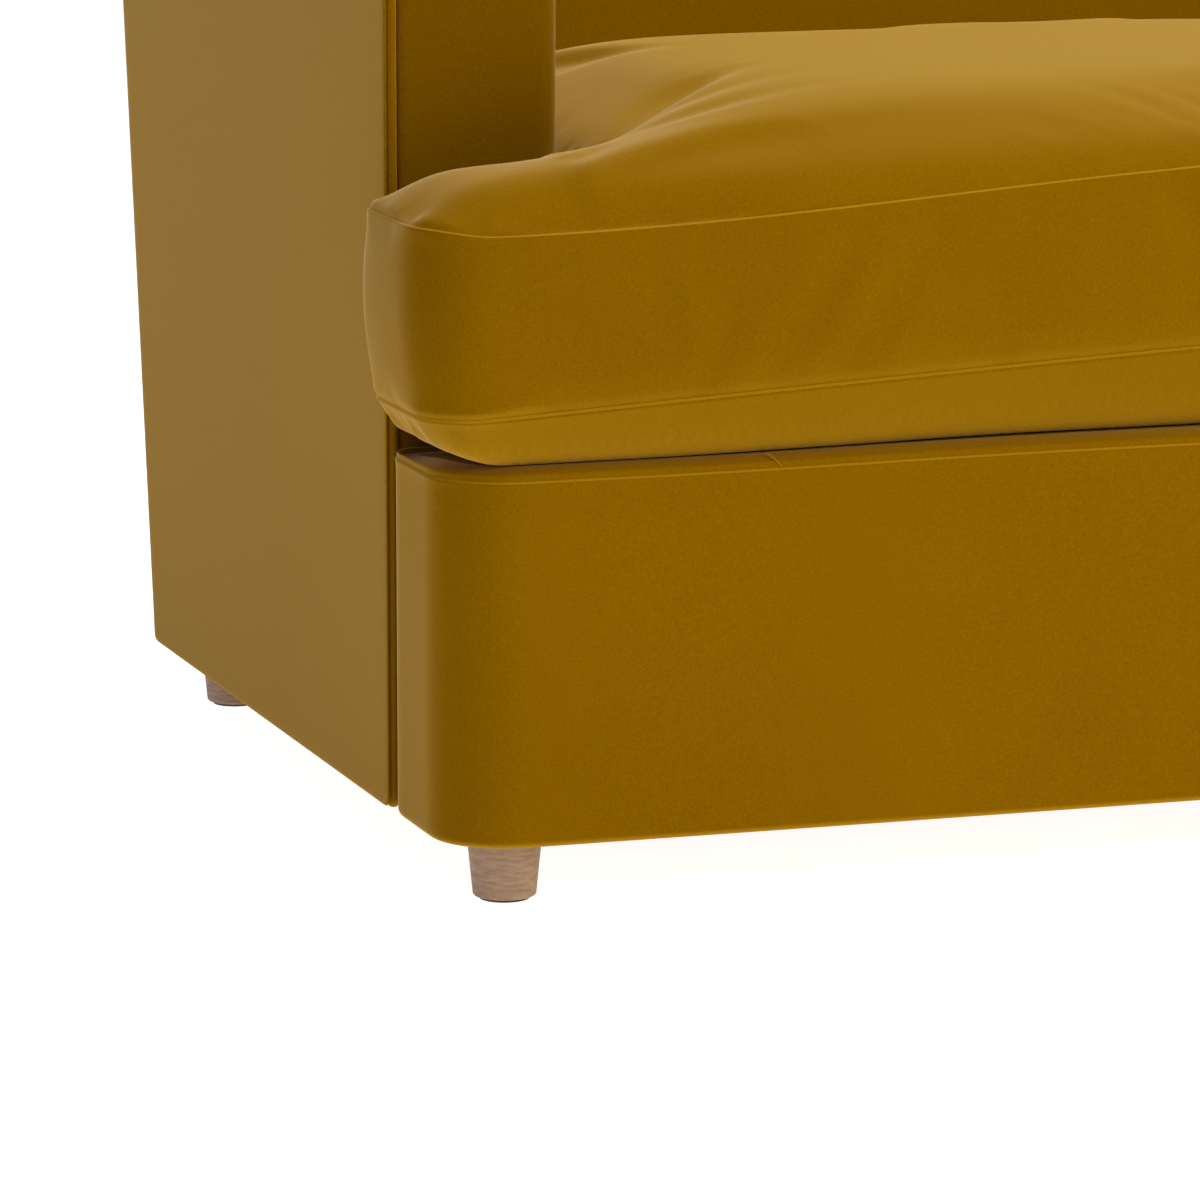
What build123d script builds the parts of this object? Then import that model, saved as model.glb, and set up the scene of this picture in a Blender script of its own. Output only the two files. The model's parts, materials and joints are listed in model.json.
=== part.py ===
from build123d import *
import math
import os

# A two-seat upholstered settee whose seat rises and comes forward over a storage well.
# Lengths are millimetres. X runs across the settee, Y from front to back, Z up.
# While modelling, depth is counted from the front face of the base; save() then moves each
# node so that the origin is under the middle of the whole object, on the floor.

# ---- driving dimensions -------------------------------------------------------------------
overall_width = 1300.0
arm_width = 120.0
side_depth = 754.0            # depth of the outer side, measured at its lower edge
rake_degrees = 8.7            # backward lean of the rear of the sides and of the back
foot_height = 40.0
arm_top = 620.0
back_top = 820.0
front_box_depth = 133.0       # the padded box that runs full width in front of the arms
front_box_top = 288.0
front_corner_radius = 50.0
box_rear_corner = 16.0
box_top_edge = 14.0
box_bottom_edge = 6.0
box_opening_half = 500.0      # the cover is open behind, where the boards show in the well
box_opening_heights = (70.0, 260.0)
box_foot_pad = (540.0, 637.0)
arm_front = 137.0             # depth at which the arms begin
back_thickness = 165.0
cushion_overhang = 18.0       # the seat cushion stands this far out at the front and sides
cushion_bottom = 291.0
cushion_top = 482.0
middle_depth = 426.6          # half way between the cushion's front and the back's rear

# ---- upholstery and boards ----------------------------------------------------------------
padding = 12.0
board = 18.0
fit_gap = 0.3                 # left between a board and the padding around it
panel_skin = 8.0              # padded outer panel of an arm and of the back
rail_thickness = 22.0
rail_top = 250.0
rail_front = 136.0
well_rear = 672.0
well_floor = 60.0
floor_thickness = 9.0
frame_member = 48.0           # width of the timber in the arm and back frames
bearer_depths = (180.0, 400.0, 620.0)
bearer_width = 44.0
bumper_depths = (200.0, 380.0, 560.0)
bumper_height = 5.5
bumper_radius = 7.0

# ---- lift mechanism -----------------------------------------------------------------------
link_length = 280.0
link_rest_degrees = 10.0      # slope of the links, above level, with the seat down
lead_pivot = (175.0, 191.0)   # depth and height of the lead link's lower pivot
link_spacing = 150.0
pin_radius = 5.0
running_gap = 0.08
link_half_width = 10.0
link_end_radius = 12.0
lift_degrees = 70.0           # how far the links swing from closed to fully up
base_plate_x = (503.0, 507.0)
link_x = (497.5, 502.5)
deck_bracket_x = (492.0, 496.5)
plate_pin_fit = 0.02
screw_seat = 505.0            # X of the shoulder that a plate screw's head rests on
pin_head_radius = 8.0
bracket_front = 190.0
bracket_below_pin = 14.0
bracket_flange = 3.1
stop_peg_along = 42.0         # from the lead pivot to the peg, along the raised link
stop_peg_radius = 4.0
tube_radius = 11.0
tube_bore = 9.0
spring_wire_radius = 2.0
spring_turn_radius = 15.0
spring_length = 40.0
spring_pitch = 5.0
spring_leg = 28.0
spring_x = 440.0

# ---- lifting deck -------------------------------------------------------------------------
deck_half_width = 526.0
deck_front = 152.0
deck_rear = 618.0
deck_bottom = 256.0
deck_rail_height = 21.0
deck_rail_width = 60.0
slat_thickness = 10.0
slat_count = 14
slat_width = 52.0
felt_thickness = 3.0
deck_cross_width = 40.0
strap_width = 40.0
strap_thickness = 1.5
strap_front = 70.0            # depth of the strap's free end, under the cushion's front
strap_low = 262.0

# ---- seat cushion -------------------------------------------------------------------------
cushion_gap = 3.0             # beside and behind the arms
cushion_rear = 621.0
cushion_front_corner = 62.0
cushion_rear_corner = 40.0
cushion_top_edge = 34.0
cushion_bottom_edge = 26.0

# ---- arms and back ------------------------------------------------------------------------
arm_top_corner = 26.0
arm_post_depth = 440.0
arm_outer_edge = 6.0
arm_inner_edge = 14.0
wrap_padding = 14.0
back_frame_bottom = 45.0
back_frame_drop = 32.0        # from the top of the back to the top of its frame
back_frame_thickness = 50.0
back_member = 60.0
back_rail_drop = 70.0
back_openings = ((110.0, 240.0), (310.0, None))
strap_pitch = 104.0
strap_heights = (290.0, 770.0)
back_strap_half = 25.0
back_pad_low = 262.0
back_pad_front_edge = 48.0
back_pad_rear_edge = 12.0
back_pad_low_edge = 24.0

# ---- worked out from the above ------------------------------------------------------------
half_width = overall_width / 2
arm_inner = half_width - arm_width
rake = math.tan(math.radians(rake_degrees))
base_bottom = foot_height
rail_outer = arm_inner - 1
rail_inner = rail_outer - rail_thickness
rest_angle = math.radians(link_rest_degrees)
link_run = link_length * math.cos(rest_angle)
link_rise = link_length * math.sin(rest_angle)
follow_pivot = (lead_pivot[0] + link_spacing, lead_pivot[1])
lead_top = (lead_pivot[0] + link_run, lead_pivot[1] + link_rise)
follow_top = (follow_pivot[0] + link_run, follow_pivot[1] + link_rise)
foot_x = half_width - 49
foot_depths = {"front": 43.0, "rear": 703.0}
foot_radius_top = 24.0
foot_radius_bottom = 20.25
glide_height = 2.0
glide_radius = 16.0
bolt_radius = 4.0             # M8, for the feet and for the arms
bolt_slack = 0.05             # round a bolt in timber
bolt_way = 0.3                # round a bolt where it passes through padding
foot_bolt_heights = (15.0, 74.0)
foot_bore_bottom = 14.0
insert_low = base_bottom + padding + 2.6
insert_fit = 0.1
bolt_way_heights = (foot_height - 5, 90.0)
cover_bolt_way = (0.0, 60.0)  # heights over which the covers are cut away round a foot's bolt
insert_radius = 6.5
insert_height = 14.0
bolt_head_radius = 8.0
bolt_head_height = 5.0
bolt_holes = [(220.0, 80.0), (420.0, 80.0), (640.0, 80.0)]
plate_screw_places = [(168.0, 226.0), (250.0, 182.0), (340.0, 182.0)]
screw_radius = 2.5
screw_head_radius = 4.6
screw_fit = 0.1


def rear_at(height):
    """Depth of the raked rear plane at a height."""
    return side_depth + rake * (height - base_bottom)


def block(x_range, y_range, z_range):
    """A box between two corners."""
    spans = [high - low for low, high in (x_range, y_range, z_range)]
    middles = [(low + high) / 2 for low, high in (x_range, y_range, z_range)]
    return Pos(*middles) * Box(*spans)


def side_shape(points, x_range, corner_radius=0):
    """A plate cut to an outline of (depth, height) points, lying across an X range."""
    outline = Polyline(*[(0, depth, height) for depth, height in points], close=True)
    plate = extrude(make_face(outline), amount=x_range[1] - x_range[0], dir=(1, 0, 0))
    if corner_radius:
        plate = fillet(plate.edges().filter_by(Axis.X), corner_radius)
    return Pos(x_range[0], 0, 0) * plate


def rod(x_range, centre, radius):
    """A round bar along X, centred on a (depth, height)."""
    length = x_range[1] - x_range[0]
    middle = (x_range[0] + x_range[1]) / 2
    return Pos(middle, *centre) * Rot(0, 90, 0) * Cylinder(radius, length)


def upright(x, depth, z_range, radius):
    """A round bar standing along Z."""
    low, high = z_range
    return Pos(x, depth, (low + high) / 2) * Cylinder(radius, high - low)


def other_side(shape):
    """The same piece for the left side."""
    return mirror(shape, about=Plane.YZ)


def save(node, *solids):
    """Write one node, moved to the shared origin."""
    placed = [Pos(0, -middle_depth, 0) * solid for solid in solids]
    whole = placed[0] if len(placed) == 1 else Compound(children=placed)
    export_step(whole, f"parts/{node}.step")


def save_pair(node, *right_solids):
    """Write a right node and its mirror image."""
    save(f"{node}_right", *right_solids)
    save(f"{node}_left", *[other_side(solid) for solid in right_solids])


def save_both_sides(node, *right_solids):
    """Write one node that holds like pieces from both sides."""
    save(node, *right_solids, *[other_side(solid) for solid in right_solids])


# ---- feet ---------------------------------------------------------------------------------
def foot(depth):
    wood_height = foot_height - glide_height
    turned = Cone(foot_radius_bottom, foot_radius_top, wood_height)
    turned = fillet(turned.edges().sort_by(Axis.Z)[0], 2)
    turned = Pos(foot_x, depth, glide_height + wood_height / 2) * turned
    return turned - upright(foot_x, depth, (foot_bore_bottom, foot_height),
                            bolt_radius + bolt_slack)


def make_feet():
    for place, depth in foot_depths.items():
        save_pair(f"foot_{place}", foot(depth))
    depths = foot_depths.values()
    glides = [upright(foot_x, depth, (0, glide_height), glide_radius) for depth in depths]
    save_both_sides("foot_glides", *glides)
    bolts = [upright(foot_x, depth, foot_bolt_heights, bolt_radius) for depth in depths]
    save_both_sides("foot_bolts", *bolts)
    inserts = []
    for depth in depths:
        sleeve = upright(foot_x, depth, (insert_low, insert_low + insert_height), insert_radius)
        inserts.append(sleeve - upright(foot_x, depth, bolt_way_heights,
                                        bolt_radius + bolt_slack))
    save_both_sides("foot_inserts", *inserts)


def foot_bolt_way(depth):
    """Clearance for a foot's bolt, with a wider pocket for its threaded insert."""
    way = upright(foot_x, depth, bolt_way_heights, bolt_radius + bolt_way)
    pocket = (insert_low, insert_low + insert_height + insert_fit)
    return way + upright(foot_x, depth, pocket, insert_radius + insert_fit / 4)


# ---- padded front box ---------------------------------------------------------------------
def front_box_block(inset, radius):
    """The front box's outline, rounded in plan at its two front corners."""
    side = half_width - inset
    body = block((-side, side), (inset, front_box_depth - inset),
                 (base_bottom + inset, front_box_top - inset))
    front_corners = body.edges().filter_by(Axis.Z).sort_by(Axis.Y)[:2]
    return fillet(front_corners, radius)


def front_cover():
    cover = front_box_block(0, front_corner_radius)
    rear_corners = cover.edges().filter_by(Axis.Z).sort_by(Axis.Y)[-2:]
    cover = fillet(rear_corners, box_rear_corner)
    cover = fillet(cover.faces().sort_by(Axis.Z)[-1].edges(), box_top_edge)
    cover = fillet(cover.faces().sort_by(Axis.Z)[0].edges(), box_bottom_edge)
    cover -= front_box_block(padding, front_corner_radius - padding)
    cover -= block((-box_opening_half, box_opening_half),
                   (front_box_depth - padding - 1, front_box_depth + 1), box_opening_heights)
    for side in (-1, 1):
        cover -= upright(side * foot_x, foot_depths["front"], cover_bolt_way,
                         bolt_radius + bolt_way)
    return cover


def make_front_box():
    inside = padding + fit_gap
    low = base_bottom + inside
    high = front_box_top - inside
    rear = front_box_depth - inside
    end = half_width - inside
    corner = half_width - front_corner_radius
    save("front_cover", front_cover())
    save("front_board", block((-corner, corner), (inside, inside + board), (low, high)))
    save("front_box_back_board", block((-end, end), (rear - board, rear), (low, high)))
    between = (inside + board + fit_gap, rear - board - fit_gap)
    clear_end = corner - fit_gap
    save("front_box_top_board", block((-clear_end, clear_end), between, (high - board, high)))
    bottom = block((-clear_end, clear_end), between, (low, low + board))
    for side in (-1, 1):
        pad = block(sorted(side * x for x in box_foot_pad), (between[0] + board, between[1]),
                    (low, low + board))
        bottom += pad
        bottom -= foot_bolt_way_at(side)
    save("front_box_bottom_board", bottom)
    blocks = block((end - board, end), (front_corner_radius + 2, rear - board - fit_gap),
                   (low + board + fit_gap, high))
    save_both_sides("front_box_end_boards", blocks)


def foot_bolt_way_at(side):
    way = foot_bolt_way(foot_depths["front"])
    return way if side > 0 else other_side(way)


# ---- seat base and storage well -----------------------------------------------------------
def side_rail():
    rail = block((rail_inner, rail_outer), (rail_front, well_rear + rail_thickness),
                 (base_bottom + 2, rail_top))
    for place in bolt_holes:
        rail -= rod((rail_inner - 1, rail_outer + 1), place, bolt_radius + bolt_way)
    for place in plate_screw_places:
        rail -= rod((rail_inner - 1, rail_inner + 17), place, screw_radius + screw_fit)
    return rail


def make_seat_base():
    inside = rail_inner - fit_gap
    save_pair("base_side_rail", side_rail())
    save("base_rear_rail", block((-inside, inside), (well_rear, well_rear + rail_thickness),
                                 (base_bottom + 2, rail_top)))
    save("well_floor", block((-inside, inside), (rail_front, well_rear - fit_gap),
                             (well_floor, well_floor + floor_thickness)))
    bearers = []
    for depth in bearer_depths:
        bearers.append(block((-inside, inside), (depth, depth + bearer_width),
                             (base_bottom + 2, well_floor - fit_gap)))
    save("floor_bearers", *bearers)
    save("dust_cover", block((-rail_outer, rail_outer), (rail_front, well_rear + rail_thickness),
                             (base_bottom + 0.4, base_bottom + 1.8)))
    bumpers = [upright(rail_inner + rail_thickness / 2, depth,
                       (rail_top, rail_top + bumper_height), bumper_radius)
               for depth in bumper_depths]
    save_both_sides("deck_bumpers", *bumpers)


# ---- lift mechanism -----------------------------------------------------------------------
def link(lower, upper):
    """A flat bar with rounded, drilled ends between two (depth, height) pivots."""
    run = upper[0] - lower[0]
    rise = upper[1] - lower[1]
    middle = ((lower[0] + upper[0]) / 2, (lower[1] + upper[1]) / 2)
    slope = math.degrees(math.atan2(rise, run))
    bar = Box(link_x[1] - link_x[0], math.hypot(run, rise), 2 * link_half_width)
    bar = Pos(sum(link_x) / 2, *middle) * Rot(slope, 0, 0) * bar
    for centre in (lower, upper):
        bar += rod(link_x, centre, link_end_radius)
    for centre in (lower, upper):
        bar -= rod((link_x[0] - 1, link_x[1] + 1), centre, pin_radius + running_gap)
    return bar


def base_plate():
    low = lead_pivot[1] - 20
    front = lead_pivot[0] - 20
    rear = follow_pivot[0] + 24
    outline = [(front, low), (rear, low), (rear, low + 40), (front + 36, low + 40),
               (front + 36, rail_top - 5), (front, rail_top - 5)]
    plate = side_shape(outline, base_plate_x, 4)
    through = (base_plate_x[0] - 1, base_plate_x[1] + 1)
    for centre in (lead_pivot, follow_pivot):
        plate -= rod(through, centre, pin_radius + plate_pin_fit)
    for place in plate_screw_places:
        plate -= rod(through, place, screw_radius + screw_fit)
        plate -= rod((through[0], screw_seat), place, screw_head_radius + screw_fit)
    return plate


def headed_pin(centre, shank_x, head_x):
    return rod(shank_x, centre, pin_radius) + rod(head_x, centre, pin_head_radius)


def stop_peg():
    """The peg that the lead link meets with the seat fully up."""
    full = math.radians(link_rest_degrees + lift_degrees)
    off = link_half_width + stop_peg_radius + 0.5
    depth = lead_pivot[0] + stop_peg_along * math.cos(full) - off * math.sin(full)
    height = lead_pivot[1] + stop_peg_along * math.sin(full) + off * math.cos(full)
    return rod((link_x[0], base_plate_x[0]), (depth, height), stop_peg_radius)


def lift_spring():
    """A torsion spring wound round the cross tube, just inside the link."""
    path = Helix(pitch=spring_pitch, height=spring_length, radius=spring_turn_radius)
    section = Circle(spring_wire_radius)
    start = Plane(origin=path @ 0, z_dir=path % 0)
    end = Plane(origin=path @ 1, z_dir=path % 1)
    coil = sweep(start * section, path=path)
    near_leg = extrude(start * section, -spring_leg)
    far_leg = extrude(end * section, spring_leg)
    spring = coil + near_leg + far_leg
    return Pos(spring_x, *lead_pivot) * Rot(0, 90, 0) * Rot(0, 0, 90) * spring


def deck_bracket():
    low = follow_top[1] - bracket_below_pin
    high = deck_bottom - fit_gap
    depths = (bracket_front, deck_rear - 2)
    web = block(deck_bracket_x, depths, (low, high))
    flange = block((deck_half_width - deck_rail_width + 2, deck_bracket_x[1]), depths,
                   (high - bracket_flange, high))
    bracket = web + flange
    for centre in (lead_top, follow_top):
        bracket -= rod((deck_bracket_x[0] - 1, deck_bracket_x[1] + 1), centre,
                       pin_radius + plate_pin_fit)
    return bracket


def make_mechanism():
    save_pair("mechanism_plate", base_plate())
    save_pair("lift_link", link(lead_pivot, lead_top))
    save_pair("follow_link", link(follow_pivot, follow_top))
    tube_end = link_x[0]
    tube = rod((-tube_end, tube_end), lead_pivot, tube_radius)
    save("link_cross_tube", tube - rod((-tube_end - 1, tube_end + 1), lead_pivot, tube_bore))
    shank = (link_x[0], base_plate_x[1])
    head = (link_x[0] - 3, link_x[0] - 0.3)
    plate_pins = []
    for centre in (lead_pivot, follow_pivot):
        plate_pins.append(headed_pin(centre, (head[0], shank[1]), head))
    save_both_sides("mechanism_pins", *plate_pins)
    save_both_sides("lift_stop_pegs", stop_peg())
    deck_pins = []
    deck_head = (deck_bracket_x[0] - 3, deck_bracket_x[0] - 0.2)
    for centre in (lead_top, follow_top):
        deck_pins.append(headed_pin(centre, (deck_head[0], link_x[1]), deck_head))
    save_both_sides("deck_pins", *deck_pins)
    save_pair("deck_bracket", deck_bracket())
    save_pair("lift_spring", lift_spring())
    screws = []
    for place in plate_screw_places:
        outer = base_plate_x[0] + 0.2
        shaft = rod((outer, rail_inner + 15), place, screw_radius)
        screws.append(shaft + rod((outer, screw_seat - 0.2), place, screw_head_radius))
    save_both_sides("mechanism_screws", *screws)


# ---- lifting deck and cushion -------------------------------------------------------------
def make_deck():
    frame_z = (deck_bottom, deck_bottom + deck_rail_height)
    inner = deck_half_width - deck_rail_width
    save_pair("deck_side_rail", block((inner, deck_half_width), (deck_front, deck_rear), frame_z))
    clear = inner - fit_gap
    cross_rail = (deck_front, deck_front + deck_cross_width)
    save("deck_front_rail", block((-clear, clear), cross_rail, frame_z))
    cross_rail = (deck_rear - deck_cross_width, deck_rear)
    save("deck_rear_rail", block((-clear, clear), cross_rail, frame_z))
    slat_low = frame_z[1] + 0.2
    first = -deck_half_width + slat_width / 2 + 4
    pitch = -2 * first / (slat_count - 1)
    slats = []
    for number in range(slat_count):
        middle = first + number * pitch
        slats.append(block((middle - slat_width / 2, middle + slat_width / 2),
                           (deck_front + 3, deck_rear - 3), (slat_low, slat_low + slat_thickness)))
    save("deck_slats", *slats)
    felt_low = slat_low + slat_thickness + 0.2
    save("deck_felt", block((-deck_half_width, deck_half_width), (deck_front, deck_rear),
                            (felt_low, felt_low + felt_thickness)))
    across = (-strap_width / 2, strap_width / 2)
    behind = deck_front - 0.4
    top = front_box_top + 2
    tail = block(across, (strap_front, behind), (top - strap_thickness, top))
    drop = block(across, (behind - strap_thickness, behind), (strap_low, top))
    save("pull_strap", tail + drop)


def seat_cushion():
    """A T-shaped cushion: its two ears reach out in front of the arms."""
    ear = half_width + cushion_overhang
    tongue = arm_inner - cushion_gap
    front = -cushion_overhang
    ear_rear = arm_front - cushion_gap
    rear = cushion_rear
    half = [(0, front), (ear, front), (ear, ear_rear), (tongue, ear_rear), (tongue, rear), (0, rear)]
    outline = half + [(-x, depth) for x, depth in reversed(half[1:-1])]
    plan = make_face(Polyline(*outline, close=True))
    front_corners = [v for v in plan.vertices() if abs(v.X) > tongue + 1 and v.Y < 0]
    plan = fillet(front_corners, cushion_front_corner)
    rear_corners = [v for v in plan.vertices()
                    if (abs(v.X) > ear - 1 and v.Y > ear_rear - 1) or v.Y > rear - 1]
    plan = fillet(rear_corners, cushion_rear_corner)
    body = Pos(0, 0, cushion_bottom) * extrude(plan, cushion_top - cushion_bottom)
    body = fillet(body.faces().sort_by(Axis.Z)[-1].edges(), cushion_top_edge)
    return fillet(body.faces().sort_by(Axis.Z)[0].edges(), cushion_bottom_edge)


# ---- arms ---------------------------------------------------------------------------------
def arm_outline(inset):
    """An arm's side outline, moved inwards all round."""
    low = base_bottom + inset
    high = arm_top - inset
    step = inset / math.cos(math.radians(rake_degrees))
    front = arm_front + inset
    return [(front, low), (rear_at(low) - step, low), (rear_at(high) - step, high), (front, high)]


def arm_outer():
    """The whole padded arm, before it is parted into its side panel and its wrap."""
    whole = side_shape(arm_outline(0), (arm_inner, half_width))
    upper = whole.edges().filter_by(Axis.X).group_by(Axis.Z)[-1]
    whole = fillet(upper, arm_top_corner)
    outer_edges = whole.faces().sort_by(Axis.X)[-1].edges()
    whole = fillet(outer_edges, arm_outer_edge)
    inner_edges = whole.faces().sort_by(Axis.X)[0].edges()
    return fillet(inner_edges, arm_inner_edge)


def arm_frame():
    """Timber frame of an arm: a ring of four members and a middle post."""
    edge = wrap_padding + fit_gap
    x_range = (arm_inner + edge, half_width - panel_skin - fit_gap)
    frame = side_shape(arm_outline(edge), x_range)
    window = side_shape(arm_outline(edge + frame_member), x_range)
    post = block(x_range, (arm_post_depth, arm_post_depth + frame_member), (60, arm_top - 20))
    frame = frame - (window - post)
    for place in bolt_holes:
        frame -= rod((x_range[0] - 1, x_range[0] + 50), place, bolt_radius + bolt_slack)
    return frame - foot_bolt_way(foot_depths["rear"])


def make_arms():
    whole = arm_outer()
    seam_x = half_width - panel_skin
    skin_side = block((seam_x, half_width + 1), (0, 1000), (0, 1000))
    save_pair("arm_side_panel", whole & skin_side)
    wrap = whole - skin_side
    wrap -= side_shape(arm_outline(wrap_padding), (arm_inner + wrap_padding, seam_x + 1))
    for place in bolt_holes:
        wrap -= rod((arm_inner - 1, arm_inner + 20), place, bolt_radius + bolt_way)
    wrap -= upright(foot_x, foot_depths["rear"], cover_bolt_way, bolt_radius + bolt_way)
    save_pair("arm_wrap", wrap)
    save_pair("arm_frame", arm_frame())
    bolts = []
    for place in bolt_holes:
        head = (rail_inner - bolt_head_height - 0.5, rail_inner - 0.5)
        shaft = rod((head[1], arm_inner + 60), place, bolt_radius)
        bolts.append(shaft + rod(head, place, bolt_head_radius))
    save_both_sides("arm_bolts", *bolts)


# ---- back ---------------------------------------------------------------------------------
def raked_slab(front_offset, rear_offset, low, high):
    """Outline of a slab that leans with the rear plane, between two offsets in front of it."""
    return [(rear_at(low) - front_offset, low), (rear_at(low) - rear_offset, low),
            (rear_at(high) - rear_offset, high), (rear_at(high) - front_offset, high)]


def make_back():
    half_back = arm_inner - cushion_gap + 0.5
    half_frame = half_back - padding
    across = (-half_back, half_back)
    frame_across = (-half_frame, half_frame)
    frame_rear = panel_skin + fit_gap
    frame_front = frame_rear + back_frame_thickness
    frame_top = back_top - back_frame_drop
    members = (-half_frame + fit_gap, half_frame - fit_gap)
    between = (-half_frame + back_member, half_frame - back_member)
    frame = side_shape(raked_slab(frame_front, frame_rear, back_frame_bottom, frame_top), members)
    middle = block((-back_member / 2, back_member / 2), (0, overall_width),
                   (back_openings[0][1], back_top))
    for low, high in back_openings:
        high = high or frame_top - back_rail_drop
        frame -= side_shape(raked_slab(frame_front + 5, 0, low, high), between) - middle
    save("back_frame", frame)

    straps = []
    outline = raked_slab(frame_front + 2.2, frame_front + 0.2, *strap_heights)
    for number in (1, 2, 3, 4):
        for place in (-number * strap_pitch, number * strap_pitch):
            straps.append(side_shape(outline, (place - back_strap_half, place + back_strap_half)))
    save("back_webbing", *straps)

    pad_rear = frame_front + 2.5
    pad = side_shape(raked_slab(back_thickness, frame_rear, back_pad_low, back_top), across)
    front_top = pad.edges().filter_by(Axis.X).group_by(Axis.Z)[-1].sort_by(Axis.Y)
    pad = fillet(front_top[0], back_pad_front_edge)
    rear_top = pad.edges().filter_by(Axis.X).group_by(Axis.Z)[-1].sort_by(Axis.Y)
    pad = fillet(rear_top[-1], back_pad_rear_edge)
    front_low = pad.edges().filter_by(Axis.X).group_by(Axis.Z)[0].sort_by(Axis.Y)
    pad = fillet(front_low[0], back_pad_low_edge)
    pad -= side_shape(raked_slab(pad_rear, 0, back_pad_low - 1, frame_top + fit_gap),
                      frame_across)
    save("back_pad", pad)
    outside = side_shape(raked_slab(panel_skin, 0, base_bottom + 0.5, back_top - 14), across)
    save("outside_back", outside)


make_feet()
make_front_box()
make_seat_base()
make_mechanism()
make_deck()
save("seat_cushion", seat_cushion())
make_arms()
make_back()
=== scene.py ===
"""A velvet storage settee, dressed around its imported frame: covers, cushion, wood and steel."""
import json
import math

import bmesh
import bpy
import numpy as np
from bpy.props import FloatProperty, FloatVectorProperty, IntProperty, PointerProperty
from mathutils import Euler, Matrix, Vector
from mathutils.geometry import delaunay_2d_cdt


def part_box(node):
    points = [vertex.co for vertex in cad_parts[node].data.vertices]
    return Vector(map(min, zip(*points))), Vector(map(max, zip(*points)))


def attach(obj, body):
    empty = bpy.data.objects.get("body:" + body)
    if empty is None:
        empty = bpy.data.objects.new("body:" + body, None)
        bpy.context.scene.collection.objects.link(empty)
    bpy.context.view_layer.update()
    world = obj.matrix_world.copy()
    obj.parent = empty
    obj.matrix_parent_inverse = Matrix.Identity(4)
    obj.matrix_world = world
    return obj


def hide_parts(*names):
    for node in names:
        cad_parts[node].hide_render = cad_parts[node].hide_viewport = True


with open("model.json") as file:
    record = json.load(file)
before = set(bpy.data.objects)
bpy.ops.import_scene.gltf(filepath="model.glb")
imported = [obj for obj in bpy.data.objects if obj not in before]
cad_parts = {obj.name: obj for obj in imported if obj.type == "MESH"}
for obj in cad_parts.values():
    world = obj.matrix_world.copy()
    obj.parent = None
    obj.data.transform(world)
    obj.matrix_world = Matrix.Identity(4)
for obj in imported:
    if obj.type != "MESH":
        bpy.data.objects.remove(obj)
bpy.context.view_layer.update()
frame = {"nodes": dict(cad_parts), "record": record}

bl_info = {
    "name": "Storage Settee",
    "version": (1, 0, 0),
    "blender": (4, 5, 0),
    "location": "View3D > Sidebar > Settee",
    "description": "Dresses a storage settee in velvet around its frame",
    "category": "Add Mesh",
}

MM = 0.001
SIDES = ((1, "right"), (-1, "left"))
RAKE = math.tan(math.radians(8.7))
# Stands up a form built lying down, its outline in X and Y, and leans it back by the rake.
RAKED_UPRIGHT = Matrix(((1, 0, 0, 0), (0, RAKE, 1, 0), (0, 1, 0, 0), (0, 0, 0, 1)))

# Edge of an arm's outer panel, from its hidden side outwards: (inset, distance from the outer
# face) in millimetres. It is a rounded bead, then a seam, then the small roll of the flat panel.
PANEL_EDGE = ((3.4, 9.0), (1.0, 8.2), (0.0, 6.9), (-0.2, 5.4), (0.3, 4.0), (1.3, 3.0),
              (2.6, 2.3), (1.0, 1.5), (1.2, 0.6), (2.4, 0.0))
PANEL_SEAM = 6  # the row of PANEL_EDGE that is the seam
PANEL_CORNER = 9 * MM
PANEL_SEAM_DEPTH = 0.6 * MM

# A sewn seam: heights of its five rows, the number of the seam's own row, how deep its ledge
# goes in, and how proud the cloth below it stands.
SEAM_LEVELS = (-4.5 * MM, -1.3 * MM, 0, 1.3 * MM, 4.5 * MM)
SEAM_RING = 2
SEAM_DEPTH = 0.5 * MM
SEAM_RIDGE = 0.8 * MM

ARM_GAP = 3 * MM  # between the seat cushion and each arm
BORDER_LEVELS = 12  # rows of points up the cushion's border
JOIN_START = 0.431  # from the middle to the join in the front box's border

# Soft creases in the cushion's border: distance in from an ear, height, lean, reach up and down,
# width and depth, in metres (the lean is across for each metre up).
BORDER_CREASES = (
    (0.152, 0.385, -0.20, 0.030, 0.009, 0.0018),
    (0.196, 0.365, 0.30, 0.026, 0.010, 0.0016),
    (0.262, 0.392, 0.55, 0.034, 0.012, 0.0026),
    (0.300, 0.372, 0.45, 0.026, 0.011, 0.0022),
    (0.505, 0.430, -0.45, 0.026, 0.013, 0.0026),
    (0.560, 0.425, -0.30, 0.030, 0.013, 0.0022),
)

# The studio: places and sizes in metres, powers in watts, angles in radians.
CAMERA_PLACE = (-1.8039, -4.2390, 0.9429)
CAMERA_TURN = 0.3175
CAMERA_TILT = 0.1837
CAMERA_LENS = 195
CAMERA_SENSOR = 36
LIGHT_AIM = (-0.2, -0.2, 0.3)
LIGHTS = (
    ("key", (1.6, -3.2, 2.4), (2.4, 2.0), 76, (1.0, 0.98, 0.95)),
    ("left", (-3.4, 0.5, 0.8), (1.8, 1.4), 9, (0.92, 1.0, 2.3)),
    ("top", (0.2, -0.3, 3.2), (2.6, 2.6), 74, (1.0, 1.0, 1.0)),
)
WORLD_LIGHT = 0.15
FLOOR_REACH = 30
FLOOR_LIGHT = 0.55
FLOOR_BRIGHTNESS = 0.9


# ---- sizes and colours a maker would change --------------------------------------------------
def length(name, description, millimetres):
    """A length property with its default given in millimetres."""
    return FloatProperty(name=name, description=description, default=millimetres * MM,
                         unit="LENGTH", precision=4)


def colour(name, description, value):
    """A colour property with its default."""
    return FloatVectorProperty(name=name, description=description, default=value, size=3,
                               min=0, max=1, subtype="COLOR")


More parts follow.
